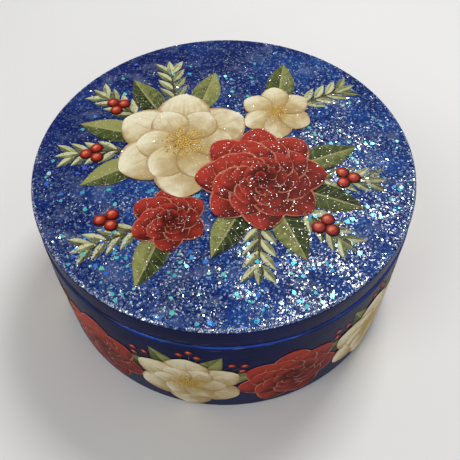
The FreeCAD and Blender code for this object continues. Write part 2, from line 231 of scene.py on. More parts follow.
class Paint:
    """A node material in the making: its methods add nodes, and most return an output."""

    def __init__(self, name, **settings):
        self.material = bpy.data.materials.new(name)
        self.material.use_nodes = True
        self.tree = self.material.node_tree
        self.shader = self.tree.nodes["Principled BSDF"]
        for key, setting in settings.items():
            self.shader.inputs[key.replace("_", " ")].default_value = setting

    def add(self, kind, **settings):
        node = self.tree.nodes.new(f"ShaderNode{kind}")
        for key, setting in settings.items():
            setattr(node, key, setting)
        return node

    def put(self, value, socket):
        """Links an output to a socket, or sets the socket to a plain value."""
        if isinstance(value, bpy.types.NodeSocket):
            self.tree.links.new(value, socket)
        else:
            socket.default_value = value

    def set(self, name, value):
        self.put(value, self.shader.inputs[name])

    def math(self, operation, *values):
        node = self.add("Math", operation=operation)
        for value, socket in zip(values, node.inputs):
            self.put(value, socket)
        return node.outputs[0]

    def times(self, first, second):
        return self.math("MULTIPLY", first, second)

    def plus(self, first, second):
        return self.math("ADD", first, second)

    def attribute(self, name):
        return self.add("Attribute", attribute_name=name).outputs["Fac"]

    def place(self, stretch=(1, 1, 1)):
        """Where a point is on the object, in metres, stretched along the axes."""
        mapping = self.add("Mapping")
        mapping.inputs["Scale"].default_value = stretch
        self.put(self.add("TexCoord").outputs["Object"], mapping.inputs["Vector"])
        return mapping.outputs["Vector"]

    def height(self):
        """How high a point is on the object, in millimetres."""
        parts = self.add("SeparateXYZ")
        self.put(self.add("TexCoord").outputs["Object"], parts.inputs[0])
        return self.times(parts.outputs["Z"], 1 / MM)

    def vector(self, x, y, z):
        node = self.add("CombineXYZ")
        for value, socket in zip((x, y, z), node.inputs):
            self.put(value, socket)
        return node.outputs[0]

    def noise(self, vector, scale, detail):
        node = self.add("TexNoise")
        self.put(vector, node.inputs["Vector"])
        node.inputs["Scale"].default_value = scale
        node.inputs["Detail"].default_value = detail
        return node.outputs["Fac"]

    def cells(self, vector, scale, output):
        node = self.add("TexVoronoi")
        self.put(vector, node.inputs["Vector"])
        node.inputs["Scale"].default_value = scale
        return node.outputs[output]

    def between(self, value, start, end):
        """0 at start, 1 at end and smooth between them, also where start is above end."""
        node = self.add("MapRange", interpolation_type="SMOOTHSTEP")
        self.put(value, node.inputs["Value"])
        node.inputs["From Min"].default_value = min(start, end)
        node.inputs["From Max"].default_value = max(start, end)
        node.inputs["To Min"].default_value = 1.0 if start > end else 0.0
        node.inputs["To Max"].default_value = 0.0 if start > end else 1.0
        return node.outputs[0]

    def ramp(self, value, *stops):
        node = self.add("ValToRGB")
        elements = node.color_ramp.elements
        while len(elements) < len(stops):
            elements.new(1.0)
        for element, (place, colour) in zip(elements, stops):
            element.position = place
            element.color = colour
        self.put(value, node.inputs["Fac"])
        return node.outputs["Color"]

    def mix(self, share, first, second, blend="MIX"):
        node = self.add("Mix", data_type="RGBA", blend_type=blend)
        self.put(share, node.inputs[0])
        self.put(first, node.inputs[6])
        self.put(second, node.inputs[7])
        return node.outputs[2]

    def bump(self, height, distance, strength):
        node = self.add("Bump")
        node.inputs["Strength"].default_value = strength
        node.inputs["Distance"].default_value = distance
        self.put(height, node.inputs["Height"])
        self.set("Normal", node.outputs["Normal"])


# Gloss of printed paper that lies under a thin clear coat.
SEALED = {"Roughness": 0.42, "Specular_IOR_Level": 0.06}

# Where a painted highlight in lighter blue runs along the rims: heights over the rim, then over the lid's
# hoop, and how strong it is there.
LEDGE_HIGHLIGHT_STARTS = (-0.9, -0.2)
LEDGE_HIGHLIGHT_ENDS = (0.3, 0.05)
UPPER_HIGHLIGHT = (-0.6, -0.1)
UPPER_HIGHLIGHT_SHARE = 0.15

# How far from the rim the scuffs reach.
SCUFF_REACH = (4.5, 0.5)


def blue_paint():
    """Deep blue paint, brushed on round the hoops and varnished, glossier along their rims with a painted
    highlight in lighter blue there, and scuffed near them.
    """
    paint = Paint("blue_paint", Coat_Roughness=0.05, Specular_IOR_Level=0.02)
    strokes = paint.noise(paint.place((14, 14, 1500)), 1.0, 4.0)
    mottle = paint.noise(paint.place((40, 40, 40)), 1.0, 2.0)
    tint = paint.plus(paint.times(strokes, 0.7), paint.times(mottle, 0.3))
    colour = paint.ramp(tint, (0.3, srgb(8, 11, 44)), (0.52, srgb(12, 20, 66)), (0.72, srgb(20, 36, 98)))
    height = paint.height()
    from_rim = paint.math("SUBTRACT", height, BODY_HEIGHT)
    from_top = paint.math("SUBTRACT", height, HOOP_TOP)
    # Painted highlight: a lighter blue line along the ledge over the rim and, fainter, along the lid's upper
    # rim, broken by the mottle; the coat is also raised there.
    ledge = paint.times(paint.between(from_rim, *LEDGE_HIGHLIGHT_STARTS), paint.between(from_rim, *LEDGE_HIGHLIGHT_ENDS))
    upper = paint.times(paint.between(from_top, *UPPER_HIGHLIGHT), UPPER_HIGHLIGHT_SHARE)
    edge_highlight_and_gloss = paint.math("MAXIMUM", ledge, upper)
    painted_highlight = paint.times(edge_highlight_and_gloss, paint.between(mottle, 0.3, 0.6))
    colour = paint.mix(paint.times(painted_highlight, 0.9), colour, srgb(30, 88, 204))
    dashes = paint.between(paint.noise(paint.place((110, 110, 2400)), 1.0, 2.0), 0.64, 0.72)
    scuffs = paint.times(dashes, paint.between(paint.math("ABSOLUTE", from_rim), *SCUFF_REACH))
    colour = paint.mix(paint.times(scuffs, 0.5), colour, srgb(138, 150, 188))
    paint.set("Base Color", colour)
    paint.set("Coat Weight", paint.math("MULTIPLY_ADD", edge_highlight_and_gloss, 0.3, 0.07))
    paint.set("Roughness", paint.math("MULTIPLY_ADD", strokes, 0.2, 0.2))
    paint.bump(strokes, 0.05 * MM, 0.5)
    return paint.material


def bare_board():
    """Grey-brown board with pressed fibres and small flecks."""
    paint = Paint("bare_board", Roughness=0.9, Specular_IOR_Level=0.2)
    fibres = paint.noise(paint.place((300, 300, 900)), 3.0, 5.0)
    flecks = paint.cells(paint.place(), 700.0, "Distance")
    board = paint.ramp(
        fibres, (0.3, srgb(146, 121, 92)), (0.55, srgb(170, 146, 114)), (0.75, srgb(188, 166, 136)))
    paint.set("Base Color", paint.mix(paint.between(flecks, 0.14, 0.06), board, srgb(104, 82, 58)))
    paint.bump(fibres, 0.08 * MM, 0.6)
    return paint.material


# Direction across the lid along which the bed's painted shade, a darker violet towards the back left, fades,
# and where, in metres.
BED_SHADE_DIRECTION = (0.7, -0.7, 0.0)
BED_SHADE_FADE = (0.02, -0.06)


def glitter_bed():
    """Blue paint under clear coat, with a painted shade of darker violet at the back left, and clouds of
    specks too deep to stand out.
    """
    paint = Paint("glitter_bed", Roughness=0.4, Specular_IOR_Level=0.04)
    spot = paint.place()
    grain = paint.add("SeparateColor")
    paint.put(paint.cells(spot, 1500.0, "Color"), grain.inputs["Color"])
    clouds = paint.noise(spot, 42.0, 4.0)
    frost = paint.noise(paint.place((1.0, 1.3, 1.0)), 90.0, 5.0)
    blue = paint.ramp(clouds, (0.34, srgb(9, 17, 74)), (0.5, srgb(17, 42, 116)), (0.66, srgb(34, 90, 172)))
    speck = paint.ramp(
        grain.outputs[0],
        (0.0, srgb(8, 13, 50)), (0.35, srgb(15, 37, 98)), (0.62, srgb(30, 72, 142)),
        (0.84, srgb(60, 104, 162)), (0.96, srgb(176, 194, 216)))
    colour = paint.mix(0.6, blue, speck)
    # Painted shade: the bed is mixed towards a darker violet at the back left, along this direction.
    towards = paint.add("VectorMath", operation="DOT_PRODUCT")
    paint.put(spot, towards.inputs[0])
    paint.put(BED_SHADE_DIRECTION, towards.inputs[1])
    violet = paint.times(paint.between(towards.outputs["Value"], *BED_SHADE_FADE), 0.6)
    colour = paint.mix(violet, colour, srgb(18, 17, 78))
    haze = paint.times(paint.between(frost, 0.52, 0.72), 0.35)
    paint.set("Base Color", paint.mix(haze, colour, srgb(126, 138, 166)))
    paint.bump(paint.plus(grain.outputs[2], paint.times(clouds, 2.0)), 0.1 * MM, 0.5)
    return paint.material


def silver_flakes():
    """Film flakes, from clear blue ones that only glint to bright silver."""
    paint = Paint("silver_flakes", Roughness=0.16, Specular_IOR_Level=0.8)
    tone = paint.attribute("tone")
    paint.set("Base Color", paint.ramp(
        tone, (0.0, srgb(12, 22, 72)), (0.5, srgb(30, 56, 118)),
        (0.74, srgb(96, 124, 164)), (0.9, srgb(222, 228, 236))))
    paint.set("Metallic", paint.between(tone, 0.6, 0.88))
    return paint.material


def colour_flakes():
    """Larger film flakes that shine aqua, green, blue or violet."""
    paint = Paint("colour_flakes", Metallic=0.4, Roughness=0.2)
    tone = paint.attribute("tone")
    sheen = paint.noise(paint.place(), 1400.0, 1.0)
    colour = paint.ramp(
        tone, (0.0, srgb(58, 74, 206)), (0.2, srgb(44, 112, 214)), (0.4, srgb(78, 190, 214)),
        (0.65, srgb(74, 200, 178)), (0.88, srgb(116, 220, 180)), (1.0, srgb(206, 242, 236)))
    paint.set("Base Color", paint.mix(paint.times(sheen, 0.5), colour, srgb(36, 104, 186)))
    return paint.material


def pale_flakes():
    """Fine film flakes over the paper, which take its warm tint."""
    paint = Paint("pale_flakes", Metallic=0.3, Roughness=0.2)
    paint.set("Base Color", paint.ramp(
        paint.attribute("tone"),
        (0.0, srgb(216, 206, 190)), (0.6, srgb(240, 236, 226)), (1.0, srgb(250, 252, 255))))
    return paint.material


def petal_paint(name, dark, middle, light, rim, vein):
    """A painted petal: deep at its base, paler outwards, with streaks, fine veins and a drawn rim."""
    paint = Paint(name, **SEALED)
    along = paint.attribute("along")
    across = paint.attribute("across")
    lit = paint.attribute("lit")
    tone = paint.attribute("tone")
    side = paint.math("ABSOLUTE", across)
    spread = paint.vector(paint.times(across, 5.0), along, paint.times(tone, 40.0))
    streaks = paint.noise(spread, 2.2, 4.0)
    blotch = paint.noise(paint.place(), 260.0, 3.0)
    reach = paint.plus(along, paint.math("MULTIPLY_ADD", streaks, 0.5, -0.25))
    colour = paint.ramp(reach, (0.08, dark), (0.42, middle), (0.9, light))
    shade = paint.plus(paint.times(lit, 0.75), paint.times(blotch, 0.5))
    deep = paint.mix(0.8, colour, dark, "MULTIPLY")
    colour = paint.mix(paint.between(shade, 0.74, 0.26), colour, deep)
    wobble = paint.math("MULTIPLY_ADD", streaks, 3.0, paint.times(across, 12.0))
    lines = paint.between(paint.math("ABSOLUTE", paint.math("SINE", wobble)), 0.4, 0.0)
    lines = paint.times(lines, paint.between(along, 1.0, 0.4))
    rib = paint.times(paint.between(side, 0.08, 0.0), paint.between(along, 0.98, 0.6))
    colour = paint.mix(paint.times(paint.math("MAXIMUM", lines, rib), 0.6), colour, vein)
    outline = paint.times(paint.between(side, 0.84, 0.96), paint.between(along, 0.2, 0.5))
    colour = paint.mix(paint.times(outline, 0.75), colour, rim)
    paint.set("Base Color", colour)
    return paint.material


def leaf_paint(name, dark, middle, light, vein, pairs):
    """A painted leaf: one half lit, a pale midrib, slanting side veins and a thin pale rim."""
    paint = Paint(name, **SEALED)
    along = paint.attribute("along")
    across = paint.attribute("across")
    side = paint.math("ABSOLUTE", across)
    blotch = paint.noise(paint.place(), 330.0, 4.0)
    half = paint.between(across, -0.08, 0.08)
    shade = paint.plus(paint.times(paint.attribute("lit"), 0.5), paint.times(blotch, 0.5))
    tone = paint.times(paint.attribute("tone"), 0.32)
    shade = paint.plus(shade, paint.math("MULTIPLY_ADD", half, 0.26, tone))
    colour = paint.ramp(shade, (0.42, dark), (0.7, middle), (1.0, light))
    phase = paint.math("MULTIPLY_ADD", side, -3.0, paint.times(along, pairs * math.pi))
    lines = paint.between(paint.math("ABSOLUTE", paint.math("SINE", phase)), 0.2, 0.0)
    colour = paint.mix(paint.times(lines, 0.35), colour, vein)
    colour = paint.mix(paint.times(paint.between(side, 0.1, 0.03), 0.7), colour, vein)
    rim = paint.times(paint.between(side, 0.88, 0.98), paint.between(blotch, 0.35, 0.6))
    colour = paint.mix(paint.times(rim, 0.6), colour, light)
    paint.set("Base Color", colour)
    return paint.material


def berry_paint():
    """A painted round berry: dark at its rim, with a soft light spot."""
    paint = Paint("berry_paint", **SEALED)
    blotch = paint.noise(paint.place(), 900.0, 2.0)
    rim = paint.between(paint.attribute("along"), 0.45, 1.0)
    shade = paint.math("SUBTRACT", paint.attribute("lit"), paint.times(rim, 0.35))
    shade = paint.math("MULTIPLY_ADD", blotch, 0.3, shade)
    paint.set("Base Color", paint.ramp(
        shade, (0.25, srgb(58, 10, 8)), (0.55, srgb(132, 32, 22)),
        (0.85, srgb(178, 58, 40)), (1.0, srgb(222, 140, 112))))
    return paint.material


def stamen_paint():
    """Golden threads and pollen heads, olive where they start."""
    paint = Paint("stamen_paint", **SEALED)
    grain = paint.noise(paint.place(), 1500.0, 2.0)
    reach = paint.math("MULTIPLY_ADD", grain, 0.5, paint.attribute("along"))
    paint.set("Base Color", paint.ramp(
        reach, (0.2, srgb(88, 66, 26)), (0.6, srgb(160, 116, 44)), (1.0, srgb(222, 186, 98))))
    return paint.material


def stem_paint():
    """Brown twig bark."""
    paint = Paint("stem_paint", **SEALED)
    bark = paint.noise(paint.place(), 1200.0, 3.0)
    paint.set("Base Color", paint.ramp(bark, (0.3, srgb(48, 36, 22)), (0.7, srgb(112, 94, 58))))
    return paint.material


# The backdrop's colour, and its strength as light and where it is seen or mirrored.
BACKDROP = (0.96, 0.97, 1.0, 1.0)
BACKDROP_LIGHT = 0.36
BACKDROP_SEEN = 0.8

# Distances from the floor's middle between which it fades into the backdrop, in metres.
FLOOR_FADE = (0.28, 0.9)


def seen_rays(tree):
    """1 for rays that show a thing to the camera, also mirrored or through glass, and 0 for other light."""
    path = tree.nodes.new("ShaderNodeLightPath")
    seen = path.outputs["Is Camera Ray"]
    for ray in ("Is Glossy Ray", "Is Transmission Ray"):
        either = tree.nodes.new("ShaderNodeMath")
        either.operation = "MAXIMUM"
        tree.links.new(seen, either.inputs[0])
        tree.links.new(path.outputs[ray], either.inputs[1])
        seen = either.outputs[0]
    return seen


def floor_paint():
    """A pale floor, which fades into the backdrop away from the object."""
    paint = Paint("floor_paint", Roughness=0.7)
    mottle = paint.noise(paint.place(), 6.0, 4.0)
    paint.set("Base Color", paint.ramp(mottle, (0.3, srgb(236, 235, 232)), (0.7, srgb(241, 240, 238))))
    away = paint.add("VectorMath", operation="LENGTH")
    paint.put(paint.place(), away.inputs[0])
    far = paint.between(away.outputs["Value"], *FLOOR_FADE)
    glow = paint.add("Emission")
    paint.put(BACKDROP, glow.inputs["Color"])
    paint.put(BACKDROP_SEEN, glow.inputs["Strength"])
    fade = paint.add("MixShader")
    paint.put(paint.times(far, seen_rays(paint.tree)), fade.inputs[0])
    paint.put(paint.shader.outputs[0], fade.inputs[1])
    paint.put(glow.outputs[0], fade.inputs[2])
    paint.put(fade.outputs[0], paint.tree.nodes["Material Output"].inputs["Surface"])
    return paint.material


MATERIALS = {
    "blue": blue_paint(),
    "board": bare_board(),
    "bed": glitter_bed(),
    "silver": silver_flakes(),
    "colour": colour_flakes(),
    "pale": pale_flakes(),
    "red": petal_paint(
        "red_petals", dark=srgb(62, 10, 8), middle=srgb(136, 36, 26), light=srgb(176, 56, 42),
        rim=srgb(224, 138, 110), vein=srgb(84, 16, 12)),
    "cream": petal_paint(
        "cream_petals", dark=srgb(188, 160, 108), middle=srgb(226, 212, 166), light=srgb(238, 230, 198),
        rim=srgb(190, 150, 100), vein=srgb(190, 158, 106)),
    "leaf": leaf_paint(
        "leaf_paint", dark=srgb(24, 32, 14), middle=srgb(74, 84, 40), light=srgb(150, 150, 88),
        vein=srgb(170, 168, 112), pairs=7),
    "leaflet": leaf_paint(
        "leaflet_paint", dark=srgb(34, 40, 20), middle=srgb(112, 118, 72), light=srgb(208, 206, 160),
        vein=srgb(196, 194, 148), pairs=3),
    "berry": berry_paint(),
    "stamen": stamen_paint(),
    "stem": stem_paint(),
}


# Meshes


def new_object(name, points, faces, materials, body, inks=None, paint=None, smooth=True):
    """A mesh piece from points in millimetres, riding on a body.

    inks says which of the materials each face has, and paint what the paint is told at each point.
    """
    mesh = bpy.data.meshes.new(name)
    mesh.from_pydata([Vector(point) * MM for point in points], [], faces)
    for key in materials:
        mesh.materials.append(MATERIALS[key])
    if inks:
        mesh.polygons.foreach_set("material_index", inks)
    if smooth:
        mesh.polygons.foreach_set("use_smooth", [True] * len(faces))
    for key, values in (paint or {}).items():
        mesh.attributes.new(key, "FLOAT", "POINT").data.foreach_set("value", values)
    mesh.update()
    piece = bpy.data.objects.new(name, mesh)
    bpy.context.scene.collection.objects.link(piece)
    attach(piece, body)
    return piece


def arc(centre, radius, start, end, steps):
    """Points on an arc in the section plane, angles in degrees."""
    for i in range(steps + 1):
        angle = math.radians(start + (end - start) * i / steps)
        yield (centre[0] + radius * math.cos(angle), centre[1] + radius * math.sin(angle))


def hoop_section(inner, outer, low, high, corners):
    """A hoop's section with its four corners rounded, from the inner low corner onwards."""
    inner_low, outer_low, outer_high, inner_high = corners
    points = list(arc((inner + inner_low, low + inner_low), inner_low, 180, 270, 3))
    points += arc((outer - outer_low, low + outer_low), outer_low, 270, 360, 6)
    points += arc((outer - outer_high, high - outer_high), outer_high, 0, 90, 8)
    points += arc((inner + inner_high, high - inner_high), inner_high, 90, 180, 3)
    return points


def lathe(name, section, material, body, turns=192):
    """A closed section, as radius and height, turned about the axis. A place on the axis is one point."""
    points = []
    rings = []
    for radius, height in section:
        first = len(points)
        count = turns if radius else 1
        for i in range(count):
            angle = 2 * math.pi * i / turns
            points.append((radius * math.cos(angle), radius * math.sin(angle), height))
        rings.append([first + i % count for i in range(turns)])
    faces = []
    for near, far in zip(rings, rings[1:] + rings[:1]):
        for i in range(turns):
            k = (i + 1) % turns
            corners = tuple(dict.fromkeys((near[i], near[k], far[k], far[i])))
            if len(corners) > 2:
                faces.append(corners)
    return new_object(name, points, faces, [material], body)


# What the paint is told at each point: place along and across a form, painted light, and a chance tone.
PAINT_VALUES = ("along", "across", "lit", "tone")

# Where the painted light comes from, in the plane of a print.
LIGHT = (-0.6, 0.8)

# Painted light on a leaf or petal: its even part, its gain along and across, the share of the length where
# the gain along it starts, and the shade of a petal's lower side.
BLADE_LIGHT = 0.5
BLADE_GAIN = 0.3
BLADE_TURN = 0.3
LOW_SIDE_SHADE = 0.25

# Painted shade at the base of a leaf and of a petal, and what each further ring of petals adds.
LEAF_SHADE = 0.3
PETAL_SHADE = 0.35
RING_SHADE = 0.1

# Painted light on a round form: its even part, its gain across the form, its edge's shade, and at its middle.
ROUND_LIGHT = 0.72
ROUND_GAIN = 0.42
ROUND_SHADE = 0.3
ROUND_MIDDLE = 0.75


def towards_light(x, y):
    return x * LIGHT[0] + y * LIGHT[1]


class Cutout:
    """The printed forms of one paper cut-out, in its own plane, with paint values at each point."""

    def __init__(self):
        self.points = []
        self.faces = []
        self.inks = []
        self.paint = {key: [] for key in PAINT_VALUES}

    def add_point(self, x, y, height, *values):
        self.points.append((x, y, height))
        for key, value in zip(PAINT_VALUES, values):
            self.paint[key].append(value)
        return len(self.points) - 1

    def add_below(self, i, low):
        """A point straight below another, at a height, with the same paint values."""
        x, y, _ = self.points[i]
        return self.add_point(x, y, low, *(self.paint[key][i] for key in PAINT_VALUES))

    def add_face(self, ink, *corners):
        self.faces.append(tuple(dict.fromkeys(corners)))
        self.inks.append(ink)

    def blade(self, size, form, base, turn, low, high, ink=0, tone=0.5, tilt=0.0, dim=0.0, grid=(12, 6)):
        """A leaf or petal from its base, turned from +Y by an angle in degrees.

        tilt is how far one side rises, dim the shade at the base, and grid the steps along and across.
        """
        length, width = size
        fullness, roundness = form
        steps, columns = grid
        angle = math.radians(turn)
        ahead = (-math.sin(angle), math.cos(angle))
        aside = (math.cos(angle), math.sin(angle))
        facing, flank = towards_light(*ahead), towards_light(*aside)
        rows = []
        for i in range(steps + 1):
            along = (1 - math.cos(math.pi * i / steps)) / 2
            half = width / 2 * max(math.sin(math.pi * along**fullness), 0.0) ** roundness
            row = []
            for j in range(columns + 1):
                across = 2 * j / columns - 1
                if i in (0, steps):
                    if row:
                        row.append(row[0])
                        continue
                    across = 0.0
                x = base[0] + aside[0] * half * across + ahead[0] * length * along
                y = base[1] + aside[1] * half * across + ahead[1] * length * along
                gain = facing * (along - BLADE_TURN) + flank * across
                lit = BLADE_LIGHT + BLADE_GAIN * gain - dim * (1 - along)
                if tilt:
                    lit -= LOW_SIDE_SHADE * max(-across, 0.0)
                row.append(self.add_point(x, y, high + tilt * across, along, across, lit, tone))
            rows.append(row)
        self.close_blade(rows, low, ink)

    def close_blade(self, rows, low, ink):
        """Faces over the rows of a blade's top, under it and down its two sides."""
        below = {i: self.add_below(i, low) for i in dict.fromkeys(i for row in rows for i in row)}
        for near, far in zip(rows, rows[1:]):
            for j in range(len(near) - 1):
                self.add_face(ink, near[j], near[j + 1], far[j + 1], far[j])
                self.add_face(ink, below[far[j]], below[far[j + 1]], below[near[j + 1]], below[near[j]])
            self.add_face(ink, near[0], far[0], below[far[0]], below[near[0]])
            self.add_face(ink, near[-1], below[near[-1]], below[far[-1]], far[-1])

    def round(self, radius, centre, low, high, dome, grid, ink=0, tone=0.5):
        """A round spot, raised in its middle. grid is its sides and its rings."""
        sides, rings = grid
        rows = [[self.add_point(*centre, high + dome, 0.0, 0.0, ROUND_MIDDLE, tone)] * sides]
        for k in range(1, rings + 1):
            share = k / rings
            row = []
            for j in range(sides):
                angle = 2 * math.pi * j / sides
                x, y = share * math.cos(angle), share * math.sin(angle)
                lit = ROUND_LIGHT + ROUND_GAIN * towards_light(x, y) - ROUND_SHADE * share**2
                height = high + dome * (1 - share**2)
                place = (centre[0] + radius * x, centre[1] + radius * y, height)
                row.append(self.add_point(*place, share, 0.0, lit, tone))
            rows.append(row)
        foot = [self.add_below(i, low) for i in rows[-1]]
        for near, far in zip(rows, rows[1:] + [foot]):
            for j in range(sides):
                k = (j + 1) % sides
                self.add_face(ink, near[j], far[j], far[k], near[k])
        self.add_face(ink, *reversed(foot))

    def on_lid(self, node, middle, layer, materials, slot):
        """Lays the cut-out on the lid with its middle at a place."""
        base = LID_TOP + layer * PAPER
        points = [(middle[0] + x, middle[1] + y, base + height) for x, y, height in self.points]
        self.finish(node, points, materials, "lid")

    def on_wall(self, node, turn, layer, materials, slot):
        """Wraps the cut-out on the wall: seen from straight ahead it keeps its outline."""
        radius = BODY_RADIUS + PASTE + layer * (PAPER + PASTE)
        points = []
        for x, y, height in self.points:
            angle = math.asin(x / radius) + math.radians(turn)
            out = radius + height
            points.append((out * math.sin(angle), -out * math.cos(angle), GARLAND_HEIGHT + y))
        self.finish(node, points, materials, "base")

    def finish(self, node, points, materials, body):
        piece = new_object(f"{node}_print", points, self.faces, materials, body, self.inks, self.paint)
        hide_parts(node)


# Prints


def along_direction(distance, direction):
    """A place at a distance, in a direction in degrees from +X."""
    angle = math.radians(direction)
    return (distance * math.cos(angle), distance * math.sin(angle))


def bloom(kind, length, colour):
    """The petals of a bloom, ring on ring, with stamens in a cream one and a bud in a red one."""
    cutout = Cutout()
    width = PETAL_WIDTH[kind]
    grid = (14, 8) if kind in ("cream", "red") else (9, 6)
    for k, (count, reach, breadth) in enumerate(RINGS[kind]):
        low = PRINT + (k - 1) * STEP if k else 0.0
        for i in range(count):
            turn = 360 * (i + 0.5 * (k % 2)) / count
            stretch = reach
            if k:
                turn += random.uniform(-PETAL_SWAY, PETAL_SWAY)
                stretch *= random.uniform(*PETAL_STRETCH)
            cutout.blade(
                (length * stretch, width * breadth), PETAL, (0, 0), turn, low, PRINT + k * STEP,
                tone=random.random(), tilt=PETAL_TILT, dim=PETAL_SHADE + RING_SHADE * k, grid=grid)
    top = PRINT + len(RINGS[kind]) * STEP
    if colour == "cream":
        add_stamens(cutout, length, top)
    else:
        cutout.round(BUD_RADIUS * length, (0, 0), top - STEP, top, BUD_DOME, tone=BUD_TONE, grid=(12, 3))
    return cutout


def add_stamens(cutout, length, top):
    """A ring of threads with pollen heads, round a cluster of small heads."""
    low = top - STEP
    for i in range(THREADS):
        direction = 360 * i / THREADS + random.uniform(-THREAD_SWAY, THREAD_SWAY)
        reach = length * random.uniform(*THREAD_REACH)
        thread = (reach, THREAD_WIDTH * length)
        spot = along_direction(reach, direction)
        cutout.blade(thread, LEAF, (0, 0), direction - 90, low, top, ink=1, grid=(3, 2))
        cutout.round(HEAD_RADIUS * length, spot, low, top + HEAD_LIFT, SMALL_DOME, ink=1, grid=(8, 2))
    for i in range(CLUSTER_COUNT):
        away = CLUSTER_REACH * length * math.sqrt((i + 0.5) / CLUSTER_COUNT)
        spot = along_direction(away, math.degrees(i * GOLDEN_TURN))
        cutout.round(CLUSTER_RADIUS * length, spot, low, top + CLUSTER_LIFT, SMALL_DOME, ink=1, grid=(8, 2))


def leaf(direction):
    cutout = Cutout()
    turn = direction - 90
    cutout.blade(
        LEAF_SIZE, LEAF, (0, 0), turn, 0.0, PRINT, tone=random.random(), dim=LEAF_SHADE, grid=(16, 8))
    return cutout


def twig(direction):
    """A stem with a leaflet at its tip and pairs along it, over small dark ones."""
    cutout = Cutout()
    turn = direction - 90
    leaflet = {"size": LEAFLET_SIZE, "form": LEAF, "low": 0.0, "grid": (8, 4)}
    dark = {"size": BACK_LEAFLET_SIZE, "form": LEAF, "low": 0.0, "tone": BACK_LEAFLET_TONE, "grid": (6, 2)}
    pitch = (TWIG_LENGTH - LEAFLET_FIRST - LEAFLET_LAST) / (LEAFLET_PAIRS - 1)
    for k in range(LEAFLET_PAIRS):
        place = along_direction(LEAFLET_FIRST + pitch * k, direction)
        behind = along_direction(LEAFLET_FIRST + pitch * (k - BACK_LEAFLET_SHIFT), direction)
        high = PRINT + LEAFLET_STEP * k
        for side in (-1, 1):
            cutout.blade(base=behind, turn=turn + side * BACK_LEAFLET_SPREAD, high=PRINT - STEP, **dark)
            cutout.blade(
                base=place, turn=turn + side * LEAFLET_SPREAD, high=high, tone=random.random(), **leaflet)
    tip = along_direction(TWIG_LENGTH - LEAFLET_SIZE[0] / 2, direction)
    cutout.blade(base=tip, turn=turn, high=PRINT + TIP_LIFT, tone=random.random(), **leaflet)
    cutout.blade((TWIG_LENGTH, TWIG_STEM), LEAF, (0, 0), turn, 0.0, PRINT + STEM_LIFT, ink=1, grid=(8, 2))
    return cutout


def berries(direction):
    """Berries round the place where their stalks meet."""
    cutout = Cutout()
    for k in range(BERRIES):
        spot = along_direction(BERRY_REACH, direction + 360 / BERRIES * k)
        high = PRINT + BERRY_STEP * k
        cutout.round(BERRY_RADIUS, spot, 0.0, high, BERRY_DOME, tone=random.random(), grid=(20, 5))
    return cutout


def leaf_spray():
    """Leaves behind a bloom on the wall, with small stalked berries between them."""
    cutout = Cutout()
    for i, direction in enumerate(SPRAY_DIRECTIONS):
        high = PRINT + SPRAY_STEP * i
        cutout.blade(
            WALL_LEAF_SIZE, LEAF, (0, 0), -direction, 0.0, high, tone=random.random(), dim=LEAF_SHADE)
    top = PRINT + SPRAY_STEP * len(SPRAY_DIRECTIONS)
    for bunch in SPRAY_BUNCHES:
        for turn, away in SPRAY_BERRIES:
            direction = 90 - bunch - turn
            spot = along_direction(away, direction)
            cutout.blade((away, SPRAY_STALK), LEAF, (0, 0), direction - 90, 0.0, top, ink=2, grid=(6, 2))
            cutout.round(
                SPRAY_BERRY_RADIUS, spot, 0.0, top, SMALL_DOME, ink=1, tone=random.random(), grid=(14, 4))
    return cutout


# Pieces


def add_box():
    """The painted hoops, the glitter coat and the bare board inside."""
    body = hoop_section(BODY_BORE, BODY_RADIUS, 0.0, BODY_HEIGHT, BODY_CORNERS)
    lid = hoop_section(LID_BORE, LID_RADIUS, BODY_HEIGHT, HOOP_TOP, LID_CORNERS)
    coat = [(0.0, HOOP_TOP), (COAT_RADIUS, HOOP_TOP)]
    coat += arc((COAT_RADIUS, HOOP_TOP - EDGE_ROUND), EDGE_ROUND - COAT_SINK, 90, COAT_END, 4)
    coat += arc((COAT_FLAT, LID_TOP - COAT_ROUND), COAT_ROUND, COAT_END, 90, 8)
    coat += [(COAT_FLAT - COAT_RING, LID_TOP), (0.0, LID_TOP)]
    for name, node, section, material, rider, slot in (
        ("body_wall_painted", "body_wall", body, "blue", "base", "blue_board"),
        ("lid_hoop_painted", "lid_hoop", lid, "blue", "lid", "blue_board"),
        ("glitter_coat_poured", "glitter_coat", coat, "bed", "lid", "glitter"),
    ):
        piece = lathe(name, section, material, rider)
        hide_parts(node)
    for node in ("base_disc", "neck_ring", "lid_disc"):
        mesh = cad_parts[node].data
        mesh.materials.clear()
        mesh.materials.append(MATERIALS["board"])


def beside(kind, direction, from_edge):
    """A place beside a bloom on the lid, at a distance from its edge."""
    (x, y), length = BLOOMS[kind]
    dx, dy = along_direction(length + from_edge, direction)
    return (x + dx, y + dy)


def add_bouquet():
    for kind, (middle, length) in BLOOMS.items():
        colour = "cream" if "cream" in kind else "red"
        materials = [colour, "stamen"] if colour == "cream" else [colour]
        bloom(kind, length, colour).on_lid(
            f"lid_{kind}_bloom", middle, LID_LAYERS[kind], materials, f"{colour}_paper")
    for piece, make, directions, from_edge, materials, slot in (
        ("twig", twig, TWIG_DIRECTIONS, -TWIG_TUCK, ["leaflet", "stem"], "twig_paper"),
        ("leaf", leaf, LEAF_DIRECTIONS, -LEAF_TUCK, ["leaf"], "leaf_paper"),
        ("berries", berries, BERRY_DIRECTIONS, BERRY_GAP, ["berry"], "berry_paper"),
    ):
        places = [(kind, direction) for kind, angles in directions.items() for direction in angles]
        for i, (kind, direction) in enumerate(places, start=1):
            middle = beside(kind, direction, from_edge)
            make(direction).on_lid(f"lid_{piece}_{i}", middle, LID_LAYERS[piece], materials, slot)


